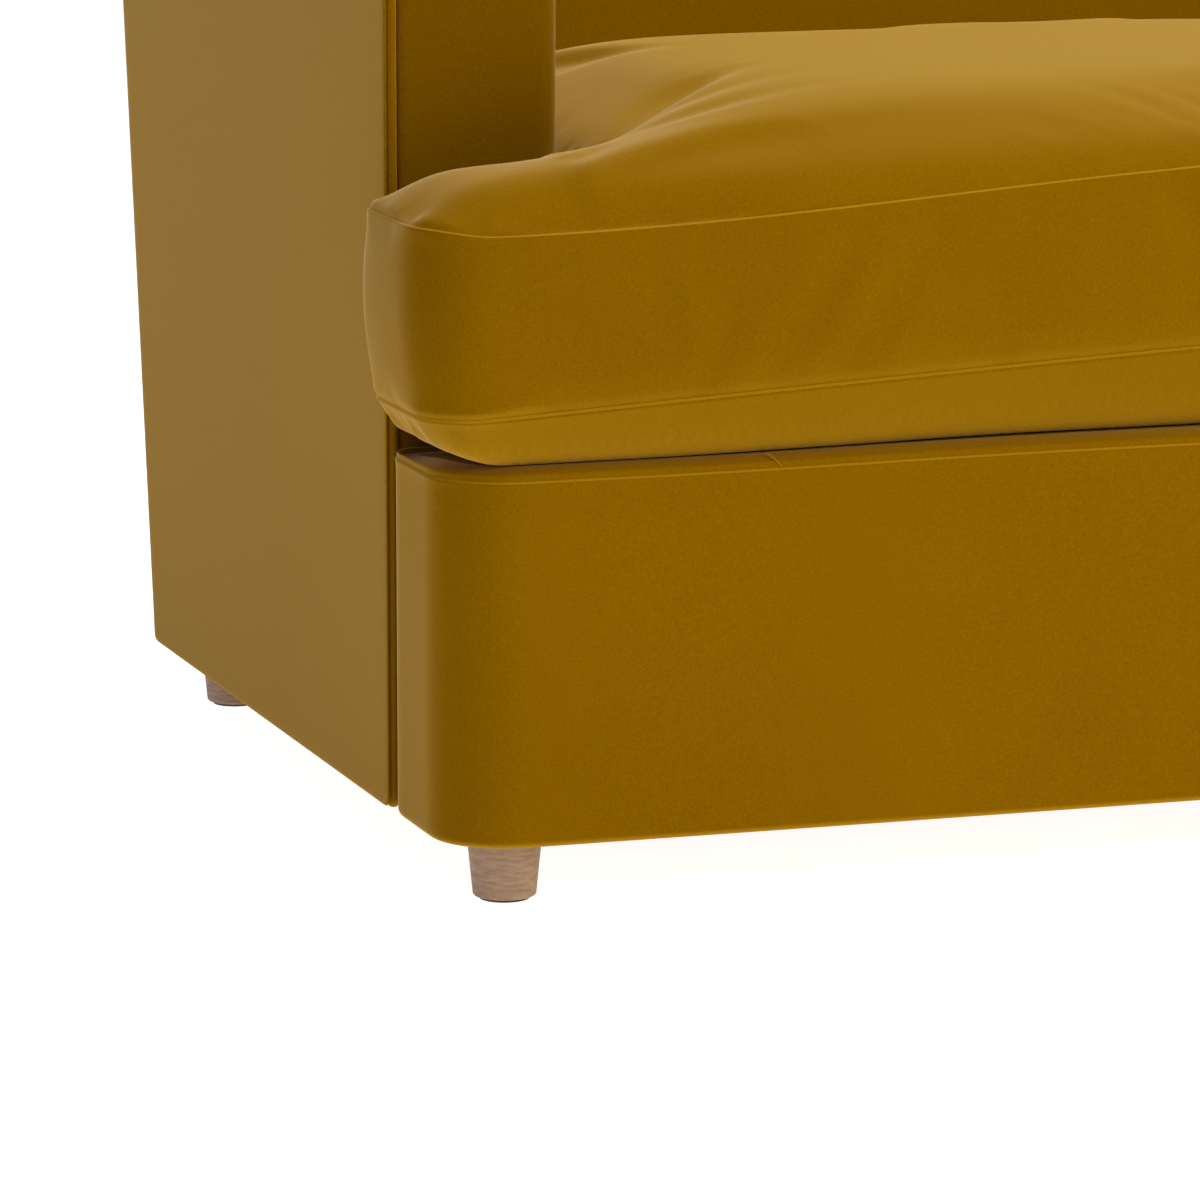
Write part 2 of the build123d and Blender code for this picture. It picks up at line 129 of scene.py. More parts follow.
class SetteeSizes(bpy.types.PropertyGroup):
    """Sizes of the covers and the seat cushion."""

    step: length("Mesh step", "Spacing of the points of a padded piece", 9)
    box_seam_drop: length("Front seam drop", "From the top of the front box to its seam", 13)
    box_corner: length("Front corner", "Plan radius of the front box's front corners", 50)
    box_bow: length("Front bow", "How far the front box bows out at its middle", 3)
    seam_low_end: length("Lower seam at the ear", "Height of the lower seam at an ear", 316)
    seam_low_middle: length("Lower seam at the middle", "Height of the lower seam", 347)
    seam_high_end: length("Upper seam at the ear", "Height of the upper seam at an ear", 431.5)
    seam_high_middle: length("Upper seam at the middle", "Height of the upper seam", 462.5)
    crown_end: length("Crown over an ear", "Height that the top swells to over an ear", 502)
    crown_middle: length("Crown at the middle", "Height that the top swells to", 500)
    crown_reach: length("Crown reach", "How far in from its edge the top is still rising", 62)
    border_bulge: length("Border bulge", "How far the border swells between its seams", 6)
    underside_roll: length("Underside roll", "Depth of the underside's curve behind the seam", 23)
    box_crown: length("Box crown", "How far the front box's seam rises at the middle", 2.4)
    box_press: length("Box press", "How far the cushion presses the front box's top down", 4.5)
    box_fall: length("Box fall", "How far the front box's top falls away towards the arms", 8)
    ear_corner: length("Ear corner", "Plan radius of an ear's front corner", 42)
    back_pad_depth: length("Back pad depth", "From the back pad's rear to its front", 156.7)
    outside_back_thickness: length("Outside back thickness", "Of the panel behind the back", 8.3)
    settle_frames: IntProperty(name="Settling steps", default=20, min=5, max=60,
                               description="Steps of the cloth simulation")


class SetteeColours(bpy.types.PropertyGroup):
    """Colours of the cloths, woods and metals."""

    velvet: colour("Velvet", "Pile seen face on", (0.27, 0.124, 0.0003))
    velvet_deep: colour("Velvet shade", "Pile brushed away", (0.19, 0.083, 0.0001))
    # Painted sheen: a lighter colour mixed in at grazing angles, on faces turned down and on seam
    # edges.
    velvet_painted_sheen: colour("Velvet bloom", "Pile seen from the side", (0.52, 0.29, 0.014))
    foot: colour("Foot wood", "Pale oiled wood", (0.40, 0.25, 0.135))
    timber: colour("Frame timber", "Planed softwood", (0.55, 0.38, 0.21))
    plywood: colour("Plywood", "Birch plywood", (0.58, 0.43, 0.27))
    steel: colour("Black steel", "Powder coat", (0.02, 0.02, 0.022))


# ---- outlines and padded meshes ----------------------------------------------------------------
def rounded_outline(corners, step):
    """Closed outline through (u, v, radius) corners, anticlockwise, as points about step apart."""
    points = []
    for number, (u, v, radius) in enumerate(corners):
        here = np.array((u, v))
        before = here - np.array(corners[number - 1][:2])
        after = np.array(corners[(number + 1) % len(corners)][:2]) - here
        before /= np.linalg.norm(before)
        after /= np.linalg.norm(after)
        turn = math.atan2(before[0] * after[1] - before[1] * after[0], before @ after)
        start = here - before * radius * math.tan(abs(turn) / 2)
        centre = start + math.copysign(radius, turn) * np.array((-before[1], before[0]))
        pieces = max(3, math.ceil(radius * abs(turn) / step))
        for k in range(pieces + 1):
            angle = turn * k / pieces
            arm = start - centre
            points.append(centre + (arm[0] * math.cos(angle) - arm[1] * math.sin(angle),
                                    arm[0] * math.sin(angle) + arm[1] * math.cos(angle)))
    dense = []
    for here, after in zip(points, points[1:] + points[:1]):
        count = max(1, round(float(np.linalg.norm(after - here)) / step))
        dense += [here + (after - here) * k / count for k in range(count)]
    return np.array(dense)


def outward(outline):
    """Unit normals that point out of an anticlockwise outline."""
    along = np.roll(outline, -1, axis=0) - np.roll(outline, 1, axis=0)
    normal = np.stack([along[:, 1], -along[:, 0]], axis=1)
    return normal / np.linalg.norm(normal, axis=1, keepdims=True)


def nearest_station(points, outline):
    """Distance from each point to the outline, and which station is nearest."""
    gaps = []
    index = []
    batch = 500
    for some in np.array_split(points, max(1, len(points) // batch)):
        apart = np.linalg.norm(some[:, None, :] - outline[None, :, :], axis=2)
        index.append(apart.argmin(axis=1))
        gaps.append(apart.min(axis=1))
    return np.concatenate(gaps), np.concatenate(index)


def inner_points(outline, step):
    """Staggered grid points inside an outline, clear of its edge."""
    low = outline.min(axis=0)
    high = outline.max(axis=0)
    row_height = step * math.sqrt(0.75)
    rows = np.arange(low[1] + row_height / 2, high[1], row_height)
    grid = []
    for number, v in enumerate(rows):
        u = np.arange(low[0] + step / 2 * (number % 2), high[0], step)
        grid.append(np.stack([u, np.full(len(u), v)], axis=1))
    grid = np.concatenate(grid)
    gap, station = nearest_station(grid, outline)
    side = np.einsum("ij,ij->i", grid - outline[station], outward(outline)[station])
    clear = 0.62 * step
    return grid[(side < 0) & (gap > clear)]


def cap_triangles(outline, inner):
    """Triangles over an outline and its inner points, anticlockwise, as indices into both."""
    points = [Vector(p) for p in np.concatenate([outline, inner])]
    count = len(outline)
    edges = [(k, (k + 1) % count) for k in range(count)]
    inside_only = 1
    tolerance = 1e-7
    made = delaunay_2d_cdt(points, edges, [], inside_only, tolerance)
    faces, origins = made[2], made[3]
    return [[origins[k][0] for k in face] for face in faces]


def membrane(count, triangles, reach, spacing, rounds=400):
    """Height from 0 at the first count points, which are the edge, to nearly 1 far inside.

    It rises as a stretched cover does over its filling, within about one reach of the edge.
    """
    triangles = np.array(triangles)
    total = triangles.max() + 1
    sides = np.concatenate([triangles[:, (0, 1)], triangles[:, (1, 2)], triangles[:, (2, 0)]])
    near = np.bincount(sides[:, 0], minlength=total) + np.bincount(sides[:, 1], minlength=total)
    pull = 4 * (reach / spacing) ** 2
    height = np.zeros(total)
    for _ in range(rounds):
        around = np.bincount(sides[:, 0], height[sides[:, 1]], total)
        around += np.bincount(sides[:, 1], height[sides[:, 0]], total)
        height = (1 + pull * around / near) / (1 + pull)
        height[:count] = 0
    return height


def flat_cap(points, gap, edge_height, swelling):
    """A cap of Padded that stays level with its edge."""
    return edge_height


class Padded:
    """A closed padded form: rings up its side, and a cap at each end.

    rows lists (inset, height) from the low cap to the high cap; each is a number or one value
    for each station. A cap is a function of (points, distance from the edge, edge height,
    membrane), where membrane(reach) swells from 0 at the edge to nearly 1 far inside.
    """

    def __init__(self, outline, rows, low_cap, high_cap, step):
        normal = outward(outline)
        count = len(outline)
        rings = []
        for inset, height in rows:
            flat = outline - normal * np.broadcast_to(inset, count)[:, None]
            rings.append(np.column_stack([flat, np.broadcast_to(height, count)]))
        self.rings = [np.arange(count) + count * number for number in range(len(rings))]
        faces = []
        for lower, upper in zip(self.rings, self.rings[1:]):
            faces += [[lower[k], lower[(k + 1) % count], upper[(k + 1) % count], upper[k]]
                      for k in range(count)]
        parts = list(rings)
        self.caps = []
        for ring, shape, flip in ((0, low_cap, True), (-1, high_cap, False)):
            edge = rings[ring]
            inner = inner_points(edge[:, :2], step)
            gap, station = nearest_station(inner, edge[:, :2])
            triangles = cap_triangles(edge[:, :2], inner)
            swelling = lambda reach: membrane(count, triangles, reach, step)[count:]
            height = shape(inner, gap, edge[station, 2], swelling)
            first = sum(len(part) for part in parts)
            parts.append(np.column_stack([inner, height]))
            names = np.concatenate([self.rings[ring], first + np.arange(len(inner))])
            for face in triangles:
                named = [int(names[k]) for k in face]
                faces.append(named[::-1] if flip else named)
            self.caps.append(first + np.arange(len(inner)))
        self.points = np.concatenate(parts)
        self.faces = [[int(k) for k in face] for face in faces]


def new_mesh_object(name, points, faces, matrix=Matrix()):
    """A smooth-shaded object in the scene, its points placed in the shared frame."""
    mesh = bpy.data.meshes.new(name)
    mesh.from_pydata([tuple(p) for p in points], [], faces)
    mesh.transform(matrix)
    if matrix.determinant() < 0:
        mesh.flip_normals()
    mesh.update()
    mesh.shade_smooth()
    thing = bpy.data.objects.new(name, mesh)
    bpy.context.scene.collection.objects.link(thing)
    return thing


def mesh_points(thing):
    """The mesh's points, one row each."""
    flat = np.empty(len(thing.data.vertices) * 3)
    thing.data.vertices.foreach_get("co", flat)
    return flat.reshape(-1, 3)


def set_mesh_points(thing, points):
    """Move the mesh's points to the given rows."""
    thing.data.vertices.foreach_set("co", points.ravel())
    thing.data.update()


def point_normals(thing):
    """The outward direction at each point of the mesh."""
    flat = np.empty(len(thing.data.vertices) * 3)
    thing.data.vertices.foreach_get("normal", flat)
    return flat.reshape(-1, 3)


def settle(thing, pinned, pressure, slack, reach):
    """Let the cover swell as cloth over its filling, apart from the points that are pinned."""
    before = mesh_points(thing)
    group = thing.vertex_groups.new(name="held")
    group.add([int(k) for k in pinned], 1.0, "REPLACE")
    cloth = thing.modifiers.new("Cloth", "CLOTH")
    cloth.settings.quality = 5
    cloth.settings.mass = 0.4
    cloth.settings.tension_stiffness = 20
    cloth.settings.compression_stiffness = 12
    cloth.settings.shear_stiffness = 6
    cloth.settings.bending_stiffness = 0.6
    cloth.settings.use_pressure = True
    cloth.settings.uniform_pressure_force = pressure
    cloth.settings.shrink_min = -slack
    cloth.settings.vertex_group_mass = "held"
    cloth.settings.effector_weights.gravity = 0
    cloth.collision_settings.use_collision = False
    scene = bpy.context.scene
    frames = scene.settee_sizes.settle_frames
    cloth.point_cache.frame_start = 1
    cloth.point_cache.frame_end = frames
    for number in range(1, frames + 1):
        scene.frame_set(number)
    evaluated = thing.evaluated_get(bpy.context.evaluated_depsgraph_get())
    flat = np.empty(len(before) * 3)
    evaluated.data.vertices.foreach_get("co", flat)
    move = flat.reshape(-1, 3) - before
    far = np.linalg.norm(move, axis=1, keepdims=True)
    limit = reach * np.tanh(far / reach) / np.maximum(far, 1e-9)
    thing.modifiers.remove(cloth)
    thing.vertex_groups.clear()
    set_mesh_points(thing, before + move * limit)
    scene.frame_set(1)


def sew(thing, rings, depth=SEAM_DEPTH, ridge=SEAM_RIDGE):
    """Make a ledge along each seam: the cloth below it stands a little proud of that above."""
    points = mesh_points(thing)
    normal = point_normals(thing)
    sharp = np.zeros(len(points))
    seam_crease = 0.9
    ridge_crease = 0.7
    for below, seam, above in rings:
        points[seam] -= normal[seam] * depth
        points[above] -= normal[above] * depth
        points[below] += normal[below] * ridge
        sharp[seam] = seam_crease
        sharp[below] = ridge_crease
    set_mesh_points(thing, points)
    ends = np.empty(len(thing.data.edges) * 2, dtype=np.int32)
    thing.data.edges.foreach_get("vertices", ends)
    first, second = sharp[ends.reshape(-1, 2)].T
    crease = thing.data.attributes.new("crease_edge", "FLOAT", "EDGE")
    crease.data.foreach_set("value", np.where(first == second, first, 0.0))


def seam_rows(inset, height, lean=0.0):
    """Five close rows for a seam to be sewn into; the middle one is the seam."""
    return [(inset - lean * rise, height + rise) for rise in SEAM_LEVELS]


def seam_rings(made, first):
    """The rings below, at and above the seam whose five rows start at first."""
    seam = first + SEAM_RING
    return made.rings[seam - 1], made.rings[seam], made.rings[seam + 1]


def paint_seam_highlights(thing, made, firsts):
    """Paint a highlight on each seam's ledge with a lighter copy of the velvet; firsts start its
    five rows.
    """
    thing.data.materials.append(velvet())
    thing.data.materials.append(seam_highlight_velvet())
    count = len(made.rings[0])
    for first in firsts:
        ledge = first + SEAM_RING - 1
        for number in range(ledge * count, (ledge + 1) * count):
            thing.data.polygons[number].material_index = 1


def finish_soft(thing, body, nodes, cloth=None):
    """Subdivide a padded piece once, tie it to its body, and hide the nodes it stands for."""
    thing.modifiers.new("Subdivision", "SUBSURF").levels = 1
    thing.modifiers["Subdivision"].render_levels = 1
    if not thing.data.materials:
        thing.data.materials.append(cloth or velvet())
    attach(thing, body)
    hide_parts(*nodes)


def arc_rows(radius, start_height, rising, steps=5):
    """Profile rows round a quarter circle that leaves a face and joins a side."""
    rows = []
    for k in range(steps + 1):
        angle = math.pi / 2 * k / steps
        if rising:
            rows.append((radius * (1 - math.sin(angle)),
                         start_height + radius * (1 - math.cos(angle))))
        else:
            rows.append((radius * (1 - math.cos(angle)),
                         start_height + radius * math.sin(angle)))
    return rows


def smooth(low, high, value):
    """Eased rise from 0 at low to 1 at high; it falls where low is the larger."""
    t = np.clip((value - low) / (high - low), 0, 1)
    return t * t * (3 - 2 * t)


# ---- materials ---------------------------------------------------------------------------------
def node_group(name, inputs, outputs):
    """A new shader node group with named sockets, and its two end nodes."""
    group = bpy.data.node_groups.new(name, "ShaderNodeTree")
    for socket, kind, default in inputs:
        made = group.interface.new_socket(name=socket, in_out="INPUT", socket_type=kind)
        if default is not None:
            made.default_value = default
    for socket, kind in outputs:
        group.interface.new_socket(name=socket, in_out="OUTPUT", socket_type=kind)
    return group, group.nodes.new("NodeGroupInput"), group.nodes.new("NodeGroupOutput")


def noise(tree, vector, scale, detail, roughness):
    """Noise from 0 to 1; its scale is a number or a group's socket."""
    made = tree.nodes.new("ShaderNodeTexNoise")
    made.inputs["Detail"].default_value = detail
    made.inputs["Roughness"].default_value = roughness
    if isinstance(scale, (int, float)):
        made.inputs["Scale"].default_value = scale
    else:
        tree.links.new(scale, made.inputs["Scale"])
    tree.links.new(vector, made.inputs["Vector"])
    return made.outputs["Fac"]


def remap(tree, value, low, high, out_low, out_high):
    """A value's range from low to high, stretched to another range and held within it."""
    made = tree.nodes.new("ShaderNodeMapRange")
    for name, number in (("From Min", low), ("From Max", high),
                         ("To Min", out_low), ("To Max", out_high)):
        made.inputs[name].default_value = number
    tree.links.new(value, made.inputs["Value"])
    return made.outputs["Result"]


def combine(tree, operation, first, second):
    """One step of arithmetic on two numbers or sockets."""
    made = tree.nodes.new("ShaderNodeMath")
    made.operation = operation
    for socket, value in zip(made.inputs, (first, second)):
        if isinstance(value, (int, float)):
            socket.default_value = value
        else:
            tree.links.new(value, socket)
    return made.outputs["Value"]


def mix_colour(tree, factor, first, second):
    """A mix of two colours, or colour sockets, by a factor."""
    made = tree.nodes.new("ShaderNodeMix")
    made.data_type = "RGBA"
    tree.links.new(factor, made.inputs["Factor"])
    for socket, value in ((made.inputs["A"], first), (made.inputs["B"], second)):
        if isinstance(value, (tuple, list)) or hasattr(value, "r"):
            socket.default_value = (*value[:3], 1)
        else:
            tree.links.new(value, socket)
    return made.outputs["Result"]


def cloth_fibre_group():
    """Fine fibre, brushed patches and a height for a bump, for any cloth."""
    name = "Cloth fibre"
    if name in bpy.data.node_groups:
        return bpy.data.node_groups[name]
    group, start, end = node_group(
        name,
        [("Vector", "NodeSocketVector", None), ("Fibre scale", "NodeSocketFloat", 900.0),
         ("Patch scale", "NodeSocketFloat", 9.0)],
        [("Fibre", "NodeSocketFloat"), ("Patch", "NodeSocketFloat"),
         ("Height", "NodeSocketFloat")])
    vector = start.outputs["Vector"]
    fibre = noise(group, vector, start.outputs["Fibre scale"], 3.0, 0.7)
    patch = noise(group, vector, start.outputs["Patch scale"], 3.0, 0.55)
    clump = noise(group, vector, 260.0, 2.0, 0.6)
    height = combine(group, "ADD", combine(group, "MULTIPLY", clump, 0.6), fibre)
    group.links.new(remap(group, fibre, 0.3, 0.7, 0, 1), end.inputs["Fibre"])
    group.links.new(remap(group, patch, 0.3, 0.7, 0, 1), end.inputs["Patch"])
    group.links.new(height, end.inputs["Height"])
    return group


def wood_grain_group():
    """Growth lines and pores along one axis, for any wood."""
    name = "Wood grain"
    if name in bpy.data.node_groups:
        return bpy.data.node_groups[name]
    group, start, end = node_group(
        name,
        [("Vector", "NodeSocketVector", None), ("Stretch", "NodeSocketVector", (1, 20, 20)),
         ("Line scale", "NodeSocketFloat", 14.0)],
        [("Line", "NodeSocketFloat"), ("Pore", "NodeSocketFloat")])
    stretch = group.nodes.new("ShaderNodeVectorMath")
    stretch.operation = "MULTIPLY"
    group.links.new(start.outputs["Vector"], stretch.inputs[0])
    group.links.new(start.outputs["Stretch"], stretch.inputs[1])
    vector = stretch.outputs["Vector"]
    line = noise(group, vector, start.outputs["Line scale"], 4.0, 0.6)
    pore = noise(group, vector, 90.0, 2.0, 0.7)
    group.links.new(remap(group, line, 0.35, 0.65, 0, 1), end.inputs["Line"])
    group.links.new(remap(group, pore, 0.5, 0.68, 0, 1), end.inputs["Pore"])
    return group


def new_material(name):
    """A material, its node tree and its Principled shader."""
    made = bpy.data.materials.new(name)
    made.use_nodes = True
    shader = made.node_tree.nodes["Principled BSDF"]
    return made, made.node_tree, shader


def place_group(tree, group, values):
    """A group node fed with the piece's own coordinates."""
    place = tree.nodes.new("ShaderNodeTexCoord")
    made = tree.nodes.new("ShaderNodeGroup")
    made.node_tree = group
    tree.links.new(place.outputs["Object"], made.inputs["Vector"])
    for name, value in values.items():
        made.inputs[name].default_value = value
    return made


def add_bump(tree, shader, height, strength, distance):
    """Raise the surface's finest detail by a height, at most a distance in metres."""
    bump = tree.nodes.new("ShaderNodeBump")
    bump.inputs["Strength"].default_value = strength
    bump.inputs["Distance"].default_value = distance
    tree.links.new(height, bump.inputs["Height"])
    tree.links.new(bump.outputs["Normal"], shader.inputs["Normal"])


def velvet(name="velvet_pile", shade=1.0, brushed=0.0, sheen=0.36):
    """Cut-pile velvet: deep colour face on, with a painted sheen, a lighter colour, at grazing
    angles.

    A shade under 1 paints a darker copy as painted shade, over 1 a lighter copy as a painted
    highlight.
    Brushed mixes the painted sheen in face on too, and faces turned down get it as painted light.
    """
    if name in bpy.data.materials:
        return bpy.data.materials[name]
    colours = bpy.context.scene.settee_colours
    # shade scales every colour: below 1 a darker copy as painted shade, above 1 a lighter copy as
    # a painted highlight.
    shaded = lambda value: tuple(shade * channel for channel in value)
    made, tree, shader = new_material(name)
    cloth = place_group(tree, cloth_fibre_group(), {"Fibre scale": 700.0, "Patch scale": 7.0})
    mask = combine(tree, "ADD", combine(tree, "MULTIPLY", cloth.outputs["Fibre"], 0.8),
                   combine(tree, "MULTIPLY", cloth.outputs["Patch"], 0.2))
    tint = mix_colour(tree, mask, shaded(colours.velvet_deep), shaded(colours.velvet))
    # Painted sheen: where the surface is seen edge on, its colour turns towards the lighter sheen
    # colour.
    facing = tree.nodes.new("ShaderNodeLayerWeight")
    facing.inputs["Blend"].default_value = 0.5
    painted_sheen_share = combine(tree, "POWER", facing.outputs["Facing"], 3.0)
    # Painted light from below: faces turned down get the lighter sheen colour, standing in for
    # light off the floor.
    place = tree.nodes.new("ShaderNodeTexCoord")
    axes = tree.nodes.new("ShaderNodeSeparateXYZ")
    tree.links.new(place.outputs["Normal"], axes.inputs["Vector"])
    painted_underside_light = remap(tree, axes.outputs["Z"], -0.2, -0.9, 0, 0.6)
    painted_sheen_share = combine(tree, "MAXIMUM", painted_sheen_share, painted_underside_light)
    # Brushed mixes the painted sheen colour in face on as well: a painted highlight, used on
    # seams.
    painted_sheen_share = combine(tree, "MAXIMUM", painted_sheen_share, brushed)
    painted_sheen_tint = mix_colour(tree, painted_sheen_share, tint, shaded(colours.velvet_painted_sheen))
    tree.links.new(painted_sheen_tint, shader.inputs["Base Color"])
    shader.inputs["Roughness"].default_value = 0.9
    shader.inputs["Specular IOR Level"].default_value = 0.0
    shader.inputs["Sheen Weight"].default_value = min(1, sheen * shade)
    shader.inputs["Sheen Roughness"].default_value = 0.3
    shader.inputs["Sheen Tint"].default_value = (1.0, 0.93, 0.8, 1)
    add_bump(tree, shader, cloth.outputs["Height"], 0.25, 0.6 * MM)
    return made


def seam_highlight_velvet():
    """A lighter copy of the velvet: a painted highlight for a seam's edge."""
    return velvet("velvet_seam_painted_highlight", shade=1.15, brushed=0.3)


def plain_cloth(name, dark, light, fibre_scale):
    """A dull cloth of two shades, for felt, webbing and the dust cover."""
    made, tree, shader = new_material(name)
    cloth = place_group(tree, cloth_fibre_group(),
                        {"Fibre scale": fibre_scale, "Patch scale": 30.0})
    tint = mix_colour(tree, cloth.outputs["Fibre"], dark, light)
    tree.links.new(tint, shader.inputs["Base Color"])
    shader.inputs["Roughness"].default_value = 0.95
    shader.inputs["Sheen Weight"].default_value = 0.2
    add_bump(tree, shader, cloth.outputs["Height"], 0.5, 0.8 * MM)
    return made


def wood(name, base, stretch, line_scale, contrast, roughness):
    """Wood with growth lines drawn out along its grain, and darker pores."""
    made, tree, shader = new_material(name)
    grain = place_group(tree, wood_grain_group(), {"Stretch": stretch, "Line scale": line_scale})
    dark = tuple(channel * (1 - contrast) for channel in base)
    light = tuple(min(1, channel * (1 + contrast * 0.6)) for channel in base)
    pore_tint = tuple(channel * (1 - 1.5 * contrast) for channel in base)
    tint = mix_colour(tree, grain.outputs["Line"], dark, light)
    pored = mix_colour(tree, grain.outputs["Pore"], tint, pore_tint)
    tree.links.new(pored, shader.inputs["Base Color"])
    rough = remap(tree, grain.outputs["Line"], 0, 1, roughness, roughness * 0.8)
    tree.links.new(rough, shader.inputs["Roughness"])
    add_bump(tree, shader, grain.outputs["Line"], 0.25, 0.25 * MM)
    return made


def metal(name, base, metallic, roughness, speckle):
    """Metal, powder coat or moulded plastic, a little uneven in colour and gloss."""
    made, tree, shader = new_material(name)
    cloth = place_group(tree, cloth_fibre_group(),
                        {"Fibre scale": 1500.0, "Patch scale": 25.0})
    light = tuple(min(1, channel * (1 + speckle)) for channel in base)
    tree.links.new(mix_colour(tree, cloth.outputs["Patch"], base, light),
                   shader.inputs["Base Color"])
    rough = remap(tree, cloth.outputs["Patch"], 0, 1, roughness * 0.85, roughness * 1.15)
    tree.links.new(rough, shader.inputs["Roughness"])
    shader.inputs["Metallic"].default_value = metallic
    add_bump(tree, shader, cloth.outputs["Fibre"], 0.1, 0.1 * MM)
    return made


def frame_materials():
    """One material for each slot of the frame's hard pieces."""
    colours = bpy.context.scene.settee_colours
    across = (1.0, 18.0, 18.0)
    return {
        "foot_wood": wood("foot_wood", tuple(colours.foot), (9.0, 9.0, 60.0), 9.0, 0.26, 0.6),
        "plywood": wood("plywood", tuple(colours.plywood), across, 8.0, 0.12, 0.55),
        "frame_timber": wood("frame_timber", tuple(colours.timber), across, 10.0, 0.18, 0.65),
        "black_steel": metal("black_steel", tuple(colours.steel), 0.0, 0.42, 0.5),
        "zinc_steel": metal("zinc_steel", (0.55, 0.56, 0.58), 1.0, 0.32, 0.15),
        "deck_felt": plain_cloth("deck_felt", (0.02, 0.02, 0.022), (0.06, 0.06, 0.065), 500.0),
        "dust_cloth": plain_cloth("dust_cloth", (0.008,) * 3, (0.03,) * 3, 400.0),
        "webbing": plain_cloth("webbing", (0.06, 0.045, 0.03), (0.16, 0.12, 0.08), 350.0),
        "bumper_rubber": metal("bumper_rubber", (0.02, 0.02, 0.02), 0.0, 0.8, 0.3),
        "glide_plastic": metal("glide_plastic", (0.06, 0.05, 0.045), 0.0, 0.5, 0.2),
        "velvet": velvet(),
    }


# ---- pieces ------------------------------------------------------------------------------------
def front_cover():
    """The padded front box: rounded corners, a slight bow and a seam round its top border."""
    sizes = bpy.context.scene.settee_sizes
    low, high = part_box("front_cover")
    rear_corner = 17 * MM
    edge = 6 * MM
    above_edge = 5 * MM
    level_front = 35 * MM
    levels = 22
    arc_steps = 6
    outline = rounded_outline(
        [(low[0], low[1], sizes.box_corner), (high[0], low[1], sizes.box_corner),
         (high[0], high[1], rear_corner), (low[0], high[1], rear_corner)], sizes.step)
    at_front = smooth(high[1], low[1], outline[:, 1])
    bow = sizes.box_bow * at_front * (1 - (outline[:, 0] / high[0]) ** 2)
    outline[:, 1] -= bow
    seam = high[2] - sizes.box_seam_drop + box_top_shape(np.abs(outline[:, 0]) / high[0])[0]
    rows = arc_rows(edge, low[2], rising=True)

    def top_height(points, gap=None, edge_height=None, swelling=None):
        crowned, pressed = box_top_shape(np.abs(points[:, 0]) / high[0])
        fall = sizes.box_fall * smooth(low[1] + level_front, high[1], points[:, 1])
        return high[2] + crowned - pressed - fall

    rises = np.linspace(low[2] + edge, seam - above_edge, levels)[1:-1]
    rows += [(0.0, height) for height in rises]
    first = len(rows)
    rows += seam_rows(0.0, seam)
    inset = sizes.box_seam_drop
    for k in range(arc_steps // 2, arc_steps + 1):
        angle = math.pi / 2 * k / arc_steps
        rows.append((inset * (1 - math.cos(angle)),
                     seam + (top_height(outline) - seam) * math.sin(angle)))
    made = Padded(outline, rows, flat_cap, top_height, sizes.step)
    thing = new_mesh_object("front_box_cover", made.points, made.faces)
    paint_seam_highlights(thing, made, [first])
    press_pile_with_painted_shade(thing, made.caps[1][0])
    sew(thing, [seam_rings(made, first)])
    finish_soft(thing, "base", ["front_cover"])
    crowned, pressed = box_top_shape(JOIN_START / high[0])
    seam = high[2] - sizes.box_seam_drop + crowned
    for side, word in SIDES:
        border_join(f"box_border_join_{word}", side, low[1], seam, inset - pressed)


def press_pile_with_painted_shade(thing, first):
    """Pile pressed flat, with no sheen, on every face that uses a point from first onwards; its
    colour is a darker copy, painted shade under the cushion.
    """
    thing.data.materials.append(velvet("velvet_pressed_pile_painted_shade", 0.9, sheen=0.0))
    for face in thing.data.polygons:
        if max(face.vertices) >= first:
            face.material_index = len(thing.data.materials) - 1


def box_top_shape(across):
    """How far the box's seam is raised and its top pressed down; across is 0 at the middle."""
    sizes = bpy.context.scene.settee_sizes
    return sizes.box_crown * smooth(0.8, 0.35, across), sizes.box_press


def border_join(name, side, front, seam, rise):
    """The short slanting join in the strip of cloth above the front box's seam."""
    slant = 9 * MM
    thickness = 0.9 * MM
    proud = 2 * MM
    above_seam = 1 * MM
    sweep = math.radians(70)
    line = bpy.data.curves.new(name, "CURVE")
    line.dimensions = "3D"
    line.bevel_depth = thickness / 2
    spline = line.splines.new("POLY")
    count = 8
    spline.points.add(count - 1)
    for k, point in enumerate(spline.points):
        part = k / (count - 1)
        angle = sweep * part
        point.co = (side * (JOIN_START + slant * part),
                    front - proud + rise * (1 - math.cos(angle)),
                    seam + above_seam + rise * math.sin(angle), 1)
    thing = bpy.data.objects.new(name, line)
    bpy.context.scene.collection.objects.link(thing)
    # Painted highlight: the join uses the lighter seam velvet.
    line.materials.append(seam_highlight_velvet())
    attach(thing, "base")


def cushion_outline():
    """The T-shaped plan of the seat cushion, with room for its border to bulge."""
    sizes = bpy.context.scene.settee_sizes
    low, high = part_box("seat_cushion")
    arm_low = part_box("arm_wrap_right")[0]
    inset = sizes.border_bulge
    tongue = arm_low[0] - ARM_GAP - inset
    ear = high[0]
    front = low[1] + inset
    ear_rear = arm_low[1] - ARM_GAP - inset
    rear = high[1] - inset
    ear_rear_corner = 16 * MM
    inner_corner = 8 * MM
    tongue_corner = 42 * MM
    half = [(ear, front, sizes.ear_corner), (ear, ear_rear, ear_rear_corner),
            (tongue, ear_rear, inner_corner), (tongue, rear, tongue_corner)]
    mirrored = [(-u, v, radius) for u, v, radius in reversed(half)]
    return rounded_outline(half + mirrored, sizes.step)


